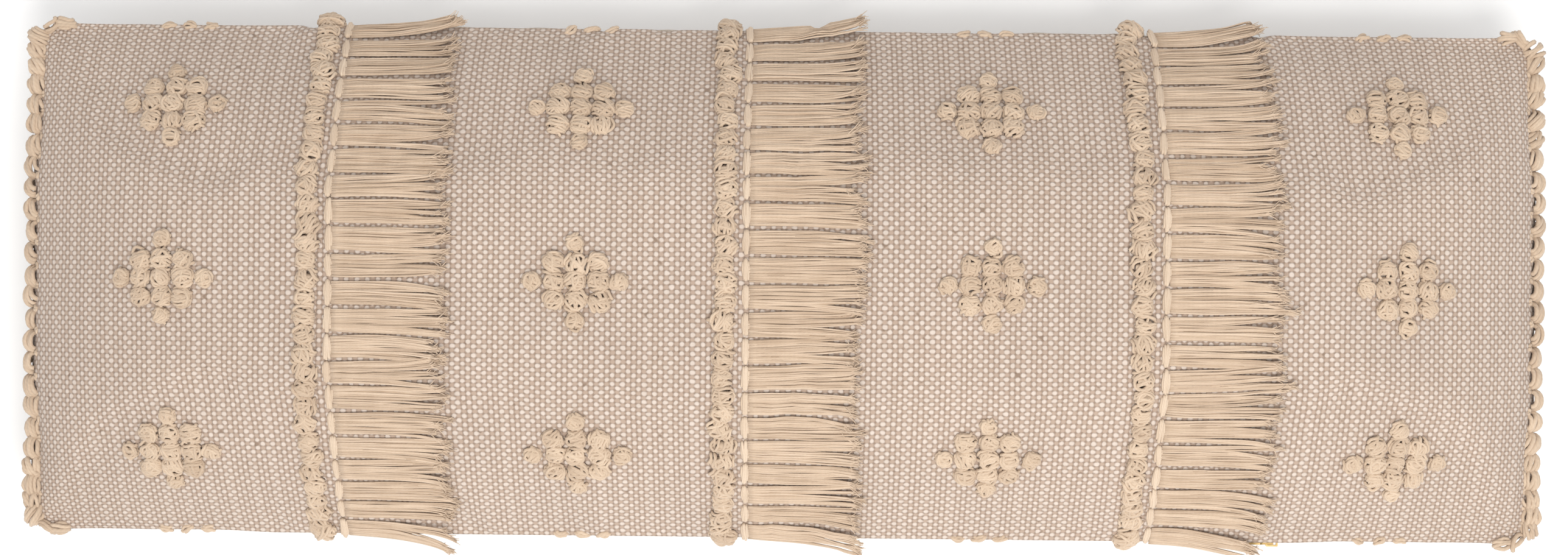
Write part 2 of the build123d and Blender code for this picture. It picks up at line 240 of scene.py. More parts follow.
# ---- materials ------------------------------------------------------------------------------------
def weave_material():
    """Off-white floats and taupe warp humps in a checked lattice, with painted shade on the ground between
    the humps. UV is the flat cloth in metres.
    """
    n = Nodes("dotted_weave")
    flat = n.put("ShaderNodeUVMap", uv_map="flat")
    drift = n.put("ShaderNodeTexNoise", {"Vector": flat, "Scale": 260.0, "Detail": 1.0}, output=1)
    offset = n.put("ShaderNodeVectorMath", {0: drift, 1: (0.5, 0.5, 0.5)}, operation="SUBTRACT")
    offset = n.put("ShaderNodeVectorMath", {0: offset, "Scale": 0.0009}, operation="SCALE")
    place = n.put("ShaderNodeVectorMath", {0: flat, 1: offset}, operation="ADD")
    u = n.put("ShaderNodeSeparateXYZ", {0: place})
    v = n.put("ShaderNodeSeparateXYZ", {0: place}, output=1)
    size_noise = n.noise(flat, 330.0, 1.0)
    thick_rows = n.math("SINE", n.math("MULTIPLY", u, TAU / WIDE_FLOATS))
    float_width = n.math("MULTIPLY", n.ramp(thick_rows, 0.55, 0.95, 0.26, 0.33, smooth=True),
                         n.ramp(size_noise, 0.2, 0.8, 0.9, 1.1))
    float_height = n.ramp(size_noise, 0.2, 0.8, 0.26, 0.32)

    def humps(shifts, width, height):
        """1 on top of each hump of a lattice, 0 between them."""
        spots = []
        for shift_u, shift_v in shifts:
            parts = []
            ways = ((u, WEAVE_CELL_X, shift_u, width), (v, WEAVE_CELL_Y, shift_v, height))
            for axis, cell, shift, reach in ways:
                local = n.math("FRACT", n.math("ADD", n.math("DIVIDE", axis, cell), shift))
                away = n.math("ABSOLUTE", n.math("SUBTRACT", local, 0.5))
                parts.append(n.math("POWER", n.math("DIVIDE", away, reach), 2.2))
            spots.append(n.math("ADD", *parts))
        return n.ramp(n.math("MINIMUM", *spots), 1.3, 0.2, 0.0, 1.0, smooth=True)

    light_float = humps(((0, 0), (0.5, 0.5)), float_width, float_height)
    warp_hump = humps(((0.5, 0), (0, 0.5)), 0.26, 0.26)
    fibre = n.noise(n.put("ShaderNodeMapping", {0: flat, 3: (1500, 5200, 1)}), 1.0, 2.0)
    cloudy = n.noise(flat, 14.0, 3.0)
    speck = n.ramp(n.noise(flat, 150.0, 1.0), 0.7, 0.76)
    # Painted shade: the taupe ground is painted darker between the warp humps, where shade falls, and
    # lighter on top of them.
    ground = n.mix(warp_hump, srgb(143, 122, 106), srgb(171, 150, 134))
    ground = n.mix(n.math("MULTIPLY", speck, 0.6), ground, srgb(112, 90, 72))
    thread = n.mix(n.noise(flat, 190.0, 1.0), srgb(189, 175, 163), srgb(211, 197, 186))
    colour = n.mix(light_float, ground, thread)
    colour = n.multiply(colour, n.ramp(fibre, 0.25, 0.75, 0.94, 1.04))
    colour = n.multiply(colour, n.ramp(cloudy, 0.3, 0.7, 0.96, 1.03))
    height = n.math("ADD", n.math("MULTIPLY", warp_hump, 0.4), light_float)
    height = n.math("ADD", height, n.math("MULTIPLY", fibre, 0.15))
    normal = n.bump(height, 0.0006, 0.8)
    return n.finish(colour, n.ramp(light_float, 0.0, 1.0, 0.95, 0.85), normal, sheen=0.12)


def yarn_material(name, deep, pale, twist=2.6 * MM, twist_depth=0.5):
    """Soft spun yarn: plies that wind round each strand with painted shade in the grooves between them, fine
    fibres and a shade per strand.
    """
    n = Nodes(name)
    along = n.put("ShaderNodeUVMap", uv_map="flat")
    around = n.put("ShaderNodeSeparateXYZ", {0: along})
    length = n.put("ShaderNodeSeparateXYZ", {0: along}, output=1)
    tint = n.put("ShaderNodeAttribute", output=2, attribute_name="tint")
    wind = n.math("ADD", n.math("MULTIPLY", around, 2 * TAU), n.math("MULTIPLY", length, TAU / twist))
    ply = n.ramp(n.math("SINE", wind), -1.0, 1.0)
    place = n.put("ShaderNodeTexCoord", output=3)
    fibre = n.noise(place, 2600.0, 3.0, 0.6)
    patch = n.noise(place, 90.0, 2.0)
    shade = n.math("ADD", n.math("MULTIPLY", tint, 0.5), n.math("MULTIPLY", patch, 0.5))
    colour = n.mix(n.ramp(shade, 0.15, 0.9), deep, pale)
    # Painted shade: the colour darkens in the grooves between the winding plies, where the bump also sinks,
    # by twist_depth.
    colour = n.multiply(colour, n.ramp(ply, 0.0, 1.0, 1 - 0.15 * twist_depth, 1.02))
    colour = n.multiply(colour, n.ramp(fibre, 0.25, 0.75, 0.95, 1.04))
    height = n.math("ADD", n.math("MULTIPLY", ply, twist_depth), n.math("MULTIPLY", fibre, 0.7))
    return n.finish(colour, n.ramp(fibre, 0.2, 0.8, 0.84, 0.96), n.bump(height, 0.00035, 0.8), sheen=0.2)


def canvas_material(name, low, high, threads_per_metre):
    """Plain weave: over and under threads from two crossed waves. UV is the flat cloth in metres."""
    n = Nodes(name)
    flat = n.put("ShaderNodeUVMap", uv_map="flat")
    wobble = n.put("ShaderNodeTexNoise", {"Vector": flat, "Scale": 120.0}, output=1)
    place = n.put("ShaderNodeVectorMath", {0: wobble, "Scale": 0.0012}, operation="SCALE")
    place = n.put("ShaderNodeVectorMath", {0: flat, 1: place}, operation="ADD")
    waves = []
    for output in (0, 1):
        axis = n.put("ShaderNodeSeparateXYZ", {0: place}, output=output)
        waves.append(n.math("SINE", n.math("MULTIPLY", axis, threads_per_metre * math.pi)))
    checks = n.math("MULTIPLY", *waves)
    over = n.ramp(checks, -1.0, 1.0)
    slub = n.noise(n.put("ShaderNodeMapping", {0: flat, 3: (18, 420, 1)}), 1.0, 2.0)
    fibre = n.noise(flat, 2400.0, 2.0)
    colour = n.mix(n.ramp(slub, 0.3, 0.7), low, high)
    colour = n.multiply(colour, n.ramp(over, 0.0, 1.0, 0.9, 1.04))
    colour = n.multiply(colour, n.ramp(fibre, 0.3, 0.7, 0.95, 1.04))
    height = n.math("ADD", n.math("ABSOLUTE", checks), n.math("MULTIPLY", fibre, 0.3))
    return n.finish(colour, n.ramp(fibre, 0.2, 0.8, 0.82, 0.95), n.bump(height, 0.0004, 0.8), sheen=0.1)


def wadding_material():
    """Loose white fibre."""
    n = Nodes("fibre_wadding")
    place = n.put("ShaderNodeTexCoord", output=3)
    tangle = n.noise(place, 160.0, 6.0, 0.7)
    colour = n.mix(tangle, srgb(214, 212, 205), srgb(246, 245, 240))
    return n.finish(colour, n.ramp(tangle, 0.2, 0.8, 0.85, 1.0), n.bump(tangle, 0.002, 0.8), sheen=0.3)


def tape_material():
    """Herringbone zipper tape, with painted shade in the hollows between its ribs. UV is the flat tape in
    metres.
    """
    n = Nodes("zipper_tape")
    flat = n.put("ShaderNodeUVMap", uv_map="flat")
    u = n.put("ShaderNodeSeparateXYZ", {0: flat})
    v = n.put("ShaderNodeSeparateXYZ", {0: flat}, output=1)
    folded = n.math("PINGPONG", v, 1.1 * MM)
    rib = n.math("SINE", n.math("MULTIPLY", n.math("ADD", u, folded), TAU / (0.9 * MM)))
    fibre = n.noise(flat, 3000.0, 2.0)
    # Painted shade: the tape is painted darker in the hollows between the ribs, where the bump also sinks.
    colour = n.mix(n.ramp(rib, -1.0, 1.0), srgb(158, 139, 121), srgb(184, 165, 146))
    colour = n.multiply(colour, n.ramp(fibre, 0.3, 0.7, 0.93, 1.04))
    return n.finish(colour, n.ramp(fibre, 0.2, 0.8, 0.75, 0.9), n.bump(rib, 0.0002, 0.7), sheen=0.1)


def nylon_material():
    """Slightly glossy coil nylon."""
    n = Nodes("zipper_coil")
    place = n.put("ShaderNodeTexCoord", output=3)
    grain = n.noise(place, 900.0, 2.0)
    colour = n.mix(grain, srgb(160, 141, 122), srgb(186, 167, 147))
    return n.finish(colour, n.ramp(grain, 0.3, 0.7, 0.32, 0.45), n.bump(grain, 0.0001, 0.4))


def brass_material():
    """Antique brass: worn bright on raised edges, darker in between."""
    n = Nodes("zipper_metal")
    place = n.put("ShaderNodeTexCoord", output=3)
    cloud = n.noise(place, 380.0, 4.0, 0.6)
    scratch = n.noise(n.put("ShaderNodeMapping", {0: place, 3: (300, 5000, 900)}), 1.0, 2.0)
    wear = n.ramp(n.put("ShaderNodeNewGeometry", output="Pointiness"), 0.5, 0.56)
    colour = n.mix(n.ramp(cloud, 0.35, 0.65), srgb(74, 58, 38), srgb(134, 107, 68))
    colour = n.mix(wear, colour, srgb(176, 148, 100))
    roughness = n.math("ADD", n.ramp(cloud, 0.3, 0.7, 0.26, 0.42), n.math("MULTIPLY", scratch, 0.1))
    return n.finish(colour, roughness, n.bump(scratch, 0.00006, 0.6), metallic=1.0)


# ---- mesh helpers ---------------------------------------------------------------------------------
def new_piece(name, points, faces, material, corner_uv=None, tint=None, body="root", slot=None):
    """A smooth mesh object that rides on a body. corner_uv has one row per face corner, in metres."""
    mesh = bpy.data.meshes.new(name)
    mesh.from_pydata(points.tolist(), [], faces)
    mesh.polygons.foreach_set("use_smooth", np.ones(len(faces), bool))
    mesh.materials.append(material)
    if corner_uv is not None:
        layer = mesh.uv_layers.new(name="flat")
        layer.data.foreach_set("uv", np.asarray(corner_uv, float).ravel())
    if tint is not None:
        mesh.attributes.new("tint", "FLOAT", "POINT").data.foreach_set("value", tint)
    mesh.update()
    piece = bpy.data.objects.new(name, mesh)
    bpy.context.collection.objects.link(piece)
    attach(piece, body)
    return piece


def unit(vectors):
    """Vectors scaled to length 1."""
    return vectors / np.maximum(np.linalg.norm(vectors, axis=-1, keepdims=True), 1e-12)


def tube_mesh(paths, radii, reference, sides=6):
    """Closed round strands. paths is (strands, points, 3), radii (strands, points), reference (strands, 3).

    Returns points, faces, a UV per face corner (turn, metres along) and the strand of each point.
    """
    strands, count, _ = paths.shape
    tangent = unit(np.gradient(paths, axis=1))
    across = unit(reference[:, None, :] - (reference[:, None, :] * tangent).sum(-1, keepdims=True) * tangent)
    other = np.cross(tangent, across)
    turn = np.arange(sides) / sides * TAU
    ring = across[:, :, None, :] * np.cos(turn)[:, None] + other[:, :, None, :] * np.sin(turn)[:, None]
    points = paths[:, :, None, :] + ring * radii[:, :, None, None]
    index = np.arange(strands * count * sides).reshape(strands, count, sides)
    following = np.roll(index, -1, axis=2)
    quads = np.stack([index[:, :-1], following[:, :-1], following[:, 1:], index[:, 1:]], axis=-1)
    run = np.linalg.norm(np.diff(paths, axis=1), axis=-1).cumsum(axis=1)
    run = np.concatenate([np.zeros((strands, 1)), run], axis=1)
    low = np.broadcast_to(run[:, :-1, None], quads.shape[:3])
    high = np.broadcast_to(run[:, 1:, None], quads.shape[:3])
    left = np.broadcast_to(np.arange(sides) / sides, quads.shape[:3])
    right = left + 1 / sides
    corners = ((left, low), (right, low), (right, high), (left, high))
    uv = np.stack([np.stack(corner, -1) for corner in corners], -2)
    faces = quads.reshape(-1, 4).tolist()
    faces += index[:, 0, ::-1].tolist() + index[:, -1].tolist()
    caps = np.zeros((2 * strands * sides, 2))
    corner_uv = np.concatenate([uv.reshape(-1, 2), caps])
    owner = np.repeat(np.arange(strands), count * sides)
    return points.reshape(-1, 3), faces, corner_uv, owner


# ---- the cushion's shape --------------------------------------------------------------------------
def profile_table(reach, height_at):
    """Distance along a profile from its middle to its edge, and the coordinate there."""
    coordinate = reach * np.sin(np.linspace(0, math.pi / 2, 1200))
    height = height_at(coordinate)
    run = np.concatenate([[0], np.hypot(np.diff(coordinate), np.diff(height)).cumsum()])
    return run, coordinate


def fullness_x(x):
    """1 in the middle of the length, falling to 0 at the end seams."""
    return 1 - np.clip(np.abs(x) / half_length, 0, 1) ** END_FULLNESS


def fullness_y(y):
    """1 in the middle of the width, falling to 0 at the long seams."""
    return 1 - np.clip(np.abs(y) / half_width, 0, 1) ** SIDE_FULLNESS


def back_depth(share):
    """How far the back lies below the seam for a share of fullness. It stops at the resting surface."""
    return np.minimum(back_drop * np.clip(share, 0, 1) ** (1 / BACK_POWER), seam_height)


run_x, reach_x = profile_table(half_length, lambda x: front_rise * fullness_x(x))
run_y, reach_y = profile_table(half_width, lambda y: front_rise * fullness_y(y))
run_back, reach_back = profile_table(half_width, lambda y: -back_depth(fullness_y(y)))
flat_half_length = float(run_x[-1])
flat_half_width = float(run_y[-1])
flat_back_half_width = float(run_back[-1])


def flat_to_x(u):
    """X of a point u along the cloth from the middle."""
    return np.sign(u) * np.interp(np.abs(u), run_x, reach_x)


def x_to_flat(x):
    """How far along the cloth from the middle x lies."""
    return float(np.sign(x) * np.interp(abs(x), reach_x, run_x))


def flat_to_y(v):
    """Y of a point v across the cloth from the middle."""
    return np.sign(v) * np.interp(np.abs(v), run_y, reach_y)


def y_to_flat(y):
    """How far across the cloth from the middle y lies."""
    return float(np.sign(y) * np.interp(abs(y), reach_y, run_y))


def round_corners(x, y):
    """Moves points of a rectangle so that its corners get the seam's radius."""
    inner_x = half_length - SEAM_CORNER
    inner_y = half_width - SEAM_CORNER
    right = np.clip((np.abs(x) - inner_x) / SEAM_CORNER, 0, 1)
    up = np.clip((np.abs(y) - inner_y) / SEAM_CORNER, 0, 1)
    new_x = np.abs(x) - SEAM_CORNER * right * (1 - np.sqrt(1 - up**2 / 2))
    new_y = np.abs(y) - SEAM_CORNER * up * (1 - np.sqrt(1 - right**2 / 2))
    return np.sign(x) * new_x, np.sign(y) * new_y


def grid_normals(points):
    """Unit normals of a (rows, columns, 3) grid, upwards for the front panel."""
    along = np.gradient(points, axis=1)
    across = np.gradient(points, axis=0)
    return unit(np.cross(along, across))


class Panel:
    """A cloth panel as a grid of points over its flat coordinates."""

    def __init__(self, flat_u, flat_v, points):
        self.flat_u = flat_u
        self.flat_v = flat_v
        self.points = points
        self.normals = grid_normals(points)

    def at(self, u, v):
        """Positions and normals at flat coordinates. Past the edge the cloth is carried straight on."""
        u, v = np.broadcast_arrays(np.asarray(u, float), np.asarray(v, float))
        column = np.clip(np.searchsorted(self.flat_u, u) - 1, 0, len(self.flat_u) - 2)
        row = np.clip(np.searchsorted(self.flat_v, v) - 1, 0, len(self.flat_v) - 2)
        right = (u - self.flat_u[column]) / (self.flat_u[column + 1] - self.flat_u[column])
        up = (v - self.flat_v[row]) / (self.flat_v[row + 1] - self.flat_v[row])
        inside = np.clip(right, 0, 1), np.clip(up, 0, 1)
        found = []
        for values, (s, t) in ((self.points, (right, up)), (self.normals, inside)):
            s, t = s[..., None], t[..., None]
            low = values[row, column] * (1 - s) + values[row, column + 1] * s
            high = values[row + 1, column] * (1 - s) + values[row + 1, column + 1] * s
            found.append(low * (1 - t) + high * t)
        return found[0], unit(found[1])


def start_shape():
    """Front and back grids of the stuffed cover before its cloth settles. They share the seam's points."""
    share_u = np.linspace(-1, 1, COLUMNS)
    share_v = np.linspace(-1, 1, ROWS)
    flat_u = share_u * flat_half_length
    flat_v = share_v * flat_half_width
    x, y = np.meshgrid(flat_to_x(flat_u), flat_to_y(flat_v))
    rise = front_rise * fullness_x(x) * fullness_y(y)
    front = np.stack([*round_corners(x, y), seam_height + rise], axis=-1)
    y_back = np.sign(share_v) * np.interp(np.abs(share_v) * flat_back_half_width, run_back, reach_back)
    near_end = np.abs(share_u) ** 6
    y_mixed = y_back[:, None] * (1 - near_end) + y * near_end
    depth = back_depth(fullness_x(x) * fullness_y(y_mixed))
    back = np.stack([*round_corners(x, y_mixed), seam_height - depth], axis=-1)
    back_flat_v = share_v * flat_back_half_width
    return flat_u, flat_v, back_flat_v, front, back


def settle(front, back):
    """Lets the sewn cover swell and wrinkle a little as cloth under the filling's pressure."""
    index = np.arange(ROWS * COLUMNS).reshape(ROWS, COLUMNS)
    back_index = index.copy()
    inner = (ROWS - 2) * (COLUMNS - 2)
    back_index[1:-1, 1:-1] = np.arange(inner).reshape(ROWS - 2, COLUMNS - 2) + ROWS * COLUMNS
    quads = []
    for grid in (index, back_index[:, ::-1]):
        corners = [grid[:-1, :-1], grid[:-1, 1:], grid[1:, 1:], grid[1:, :-1]]
        quads.append(np.stack(corners, -1).reshape(-1, 4))
    points = np.concatenate([front.reshape(-1, 3), back[1:-1, 1:-1].reshape(-1, 3)])
    mesh = bpy.data.meshes.new("settling")
    mesh.from_pydata(points.tolist(), [], np.concatenate(quads).tolist())
    cover = bpy.data.objects.new("settling", mesh)
    bpy.context.collection.objects.link(cover)
    hold = cover.vertex_groups.new(name="hold")
    edge = np.ones((ROWS, COLUMNS), bool)
    edge[1:-1, 1:-1] = False
    resting = np.nonzero(points[:, 2] < 0.5 * MM)[0]
    hold.add(list(range(len(points))), HOLD_CLOTH, "REPLACE")
    hold.add(index[edge].tolist(), HOLD_SEAM, "REPLACE")
    hold.add(resting.tolist(), HOLD_RESTING, "REPLACE")
    cloth = cover.modifiers.new("cloth", "CLOTH")
    settings = cloth.settings
    settings.quality = 5
    settings.mass = 0.3
    settings.tension_stiffness = 12
    settings.compression_stiffness = 12
    settings.shear_stiffness = 4
    settings.bending_stiffness = 0.3
    settings.vertex_group_mass = "hold"
    settings.pin_stiffness = 0.6
    settings.shrink_min = -0.018
    settings.use_pressure = True
    settings.uniform_pressure_force = 1.2
    settings.effector_weights.gravity = 0
    cloth.collision_settings.use_collision = False
    scene = bpy.context.scene
    for step in range(1, SETTLING_FRAMES + 1):
        scene.frame_set(step)
    solved = cover.evaluated_get(bpy.context.evaluated_depsgraph_get())
    moved = np.empty(len(points) * 3)
    solved.data.vertices.foreach_get("co", moved)
    scene.frame_set(1)
    shift = moved.reshape(-1, 3) - points
    reach = np.linalg.norm(shift, axis=1, keepdims=True)
    shift *= SETTLE_LIMIT * np.tanh(reach / SETTLE_LIMIT) / np.maximum(reach, 1e-9)
    points = points + shift
    points[resting, 2] = 0
    points[:, 2] = np.maximum(points[:, 2], 0)
    bpy.data.objects.remove(cover)
    return points[index], points[back_index]


def pinch_seam(front, back):
    """Draws the seam in a little, as its stitches do."""
    for grid in (front, back):
        edge = np.ones(grid.shape[:2], bool)
        edge[1:-1, 1:-1] = False
        grid[edge, 0] *= 1 - SEAM_PINCH / half_length
        grid[edge, 1] *= 1 - SEAM_PINCH / half_width


def ripple(front):
    """The slow unevenness of the filling, as long low waves that die away at the seams."""
    x = front[..., 0]
    y = front[..., 1]
    uneven = np.zeros(front.shape[:2])
    for _ in range(UNEVEN_WAVES):
        angle = rng.uniform(0, TAU)
        pitch = rng.uniform(0.09, 0.28)
        uneven += np.sin((x * math.cos(angle) + y * math.sin(angle)) * TAU / pitch + rng.uniform(0, TAU))
    rippled = front.copy()
    rippled[..., 2] += UNEVEN_HEIGHT * uneven * fullness_x(x) * fullness_y(y)
    return rippled


# ---- build -----------------------------------------------------------------------------------------
add_camera()
add_studio()

weave = weave_material()
tuft_yarn = yarn_material("tuft_yarn", srgb(180, 157, 134), srgb(212, 190, 166), twist_depth=0.3)
fringe_yarn = yarn_material("fringe_yarn", srgb(178, 154, 130), srgb(212, 190, 167), twist_depth=0.12)
header_yarn = yarn_material("header_yarn", srgb(191, 169, 146), srgb(215, 195, 173), twist_depth=0.1)
back_canvas = canvas_material("back_canvas", srgb(176, 160, 143), srgb(198, 183, 166), 1100)
casing_cotton = canvas_material("casing_cotton", srgb(232, 229, 221), srgb(246, 244, 238), 1900)
seam_thread = yarn_material("seam_thread", srgb(178, 158, 138), srgb(206, 188, 168), 1.2 * MM)
wadding = wadding_material()
tape_cloth = tape_material()
coil_nylon = nylon_material()
brass = brass_material()

flat_u, flat_v, back_flat_v, front_grid, back_grid = start_shape()
front_grid, back_grid = settle(front_grid, back_grid)
front_grid = ripple(front_grid)
pinch_seam(front_grid, back_grid)
front = Panel(flat_u, flat_v, front_grid)
back = Panel(flat_u, back_flat_v, back_grid)


# ---- cover, insert and filling ---------------------------------------------------------------------
def grid_faces(rows, columns, upwards=True):
    """Four-sided faces of a grid of points."""
    index = np.arange(rows * columns).reshape(rows, columns)
    if not upwards:
        index = index[:, ::-1]
    quads = np.stack([index[:-1, :-1], index[:-1, 1:], index[1:, 1:], index[1:, :-1]], axis=-1)
    return quads.reshape(-1, 4)


def panel_piece(name, panel, material, upwards, keep=None, smoothing=1, **riding):
    """A panel as a smooth mesh with its flat coordinates as UV. keep leaves faces out."""
    faces = grid_faces(*panel.points.shape[:2], upwards)
    if keep is not None:
        faces = faces[keep]
    u, v = np.meshgrid(panel.flat_u, panel.flat_v)
    flat = np.stack([u, v], axis=-1).reshape(-1, 2)
    used, compact = np.unique(faces, return_inverse=True)
    compact = compact.reshape(-1, 4)
    points = panel.points.reshape(-1, 3)[used]
    piece = new_piece(name, points, compact.tolist(), material, flat[faces.ravel()], **riding)
    if smoothing:
        rounded = piece.modifiers.new("smooth", "SUBSURF")
        rounded.levels = smoothing
        rounded.render_levels = smoothing
        solved = piece.evaluated_get(bpy.context.evaluated_depsgraph_get())
        mesh = bpy.data.meshes.new_from_object(solved)
        piece.modifiers.remove(rounded)
        piece.data = mesh
    return piece


def shrunk(panel, seam_slack, crown_slack):
    """The same panel for a layer further in."""
    middle = np.array([0, 0, seam_height])
    seam_factors = [1 - seam_slack / half_length, 1 - seam_slack / half_width]
    factor = np.array([*seam_factors, 1 - crown_slack / seam_height])
    return Panel(panel.flat_u, panel.flat_v, middle + (panel.points - middle) * factor)


tape_low, tape_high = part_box("zipper_tape_lower")
upper_tape_low, upper_tape_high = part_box("zipper_tape_upper")
stop_low, stop_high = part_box("zipper_bottom_stop")
slot_half = -stop_low[0]
slot_bottom = tape_low[2] + 2 * MM
tape_face = tape_low[1]
chain_height = (stop_low[2] + stop_high[2]) / 2


def iron_zipper_wall(front, back, start_front, start_back):
    """Flattens the wall round the zipper again and gives the back panel an edge along the opening."""
    middle = COLUMNS // 2
    edge_row = int(np.argmin(np.abs(start_back[: ROWS // 2, middle, 2] - slot_bottom)))
    near = 1 - np.clip((np.abs(start_front[0, :, 0]) - slot_half) / (30 * MM), 0, 1)
    weight = near[:, None]
    for row in range(edge_row + 1):
        back[row] = back[row] * (1 - weight) + start_back[row] * weight
    share = np.linspace(0, 1, edge_row + 1)
    for row in range(1, edge_row + 1):
        target = seam_height + (slot_bottom - seam_height) * share[row]
        back[row, :, 2] = back[row, :, 2] * (1 - near) + target * near
    front[0] = front[0] * (1 - weight) + start_front[0] * weight
    back[0] = front[0]
    return edge_row


edge_row = iron_zipper_wall(front.points, back.points, *start_shape()[3:])
front = Panel(flat_u, flat_v, front.points)
back = Panel(flat_u, back_flat_v, back.points)

front_piece = panel_piece("front_panel", front, weave, True, slot="dotted_weave")
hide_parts("cover_front")

column_middle = (back.points[0, :-1, 0] + back.points[0, 1:, 0]) / 2
opening = np.zeros((ROWS - 1, COLUMNS - 1), bool)
opening[:edge_row] = np.abs(column_middle[::-1]) < slot_half
back_piece = panel_piece("back_panel", back, back_canvas, False, ~opening.ravel(), slot="back_canvas")
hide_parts("cover_back")

for name, panel, upwards in (("front", front, True), ("back", back, False)):
    casing = panel_piece(f"insert_{name}", shrunk(panel, *CASING_SLACK), casing_cotton, upwards, smoothing=0,
                         slot="casing_cotton")
    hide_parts(f"insert_{name}_panel")

fill_front = shrunk(front, *FILL_SLACK).points
fill_back = shrunk(back, *FILL_SLACK).points
fill_points = np.concatenate([fill_front.reshape(-1, 3), fill_back.reshape(-1, 3)])
fill_faces = np.concatenate([grid_faces(ROWS, COLUMNS), grid_faces(ROWS, COLUMNS, False) + ROWS * COLUMNS])
filling = new_piece("fibre_filling", fill_points, fill_faces.tolist(), wadding, slot="fibre_wadding")
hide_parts("fibre_fill")


# ---- yarn loops ------------------------------------------------------------------------------------
def on_cloth_frame(panel, u, v):
    """Where loops stand on a panel: positions, and unit vectors along X, along Y and out of the cloth."""
    base, normal = panel.at(u, v)
    ahead, _ = panel.at(np.asarray(u) + 1 * MM, v)
    tangent = unit(ahead - base)
    return base, tangent, np.cross(normal, tangent), normal


def placed(frame_vectors, x, y, z):
    """Local coordinates (loops, points) as points in space."""
    base, tangent, side, normal = frame_vectors
    return (base[:, None] + tangent[:, None] * x[..., None] + side[:, None] * y[..., None]
            + normal[:, None] * z[..., None])


def loop_strands(panel, u, v, along, width, height, plies=5, ply_radius=1.3 * MM, turn=0.3, lean=0.0,
                 curl=1.0, roundness=0.75):
    """Paths of the plies of yarn loops that stand on a panel at (u, v).

    A loop arcs along X, turned by lean and by a random angle up to about turn. curl is how much each ply
    strays from its neighbours, and a low roundness gives a flat top.
    """
    count = len(u)
    vectors = on_cloth_frame(panel, u, v)
    loop_yaw = rng.normal(0, turn, (count, 1)) + lean
    size = rng.uniform(0.9, 1.1, (count, 1))
    theta = np.linspace(0.0, math.pi, 11)
    paths, sides = [], []
    for share in np.linspace(-1, 1, plies):
        yaw = loop_yaw + curl * rng.normal(0, 0.16, (count, 1))
        off = share * (width / 2 - ply_radius) + curl * rng.normal(0, 0.3 * MM, (count, 1))
        narrow = math.sqrt(1 - 0.5 * share**2)
        reach = (along / 2 - ply_radius) * narrow * size * (1 + curl * rng.uniform(-0.08, 0.08, (count, 1)))
        top = height * narrow * size * (1 + curl * rng.uniform(-0.16, 0.1, (count, 1)))
        phase = rng.uniform(0, TAU, (count, 1))
        x = -np.cos(theta) * reach
        z = np.sin(theta) ** roundness * (top - ply_radius) - ply_radius * 0.5
        y = off * (1 - 0.2 * np.abs(np.cos(theta))) + curl * 0.45 * MM * np.sin(2.2 * theta + phase)
        turned_x = x * np.cos(yaw) - y * np.sin(yaw)
        turned_y = x * np.sin(yaw) + y * np.cos(yaw)
        paths.append(placed(vectors, turned_x, turned_y, z))
        sides.append(vectors[2] * np.cos(yaw) - vectors[1] * np.sin(yaw))
    paths = np.concatenate(paths)
    radii = np.full(paths.shape[:2], ply_radius) * (1 + curl * rng.uniform(-0.18, 0.12, (len(paths), 1)))
    tint = 0.5 * np.tile(rng.random(count), plies) + 0.5 * rng.random(len(paths))
    return paths, radii, np.concatenate(sides), tint


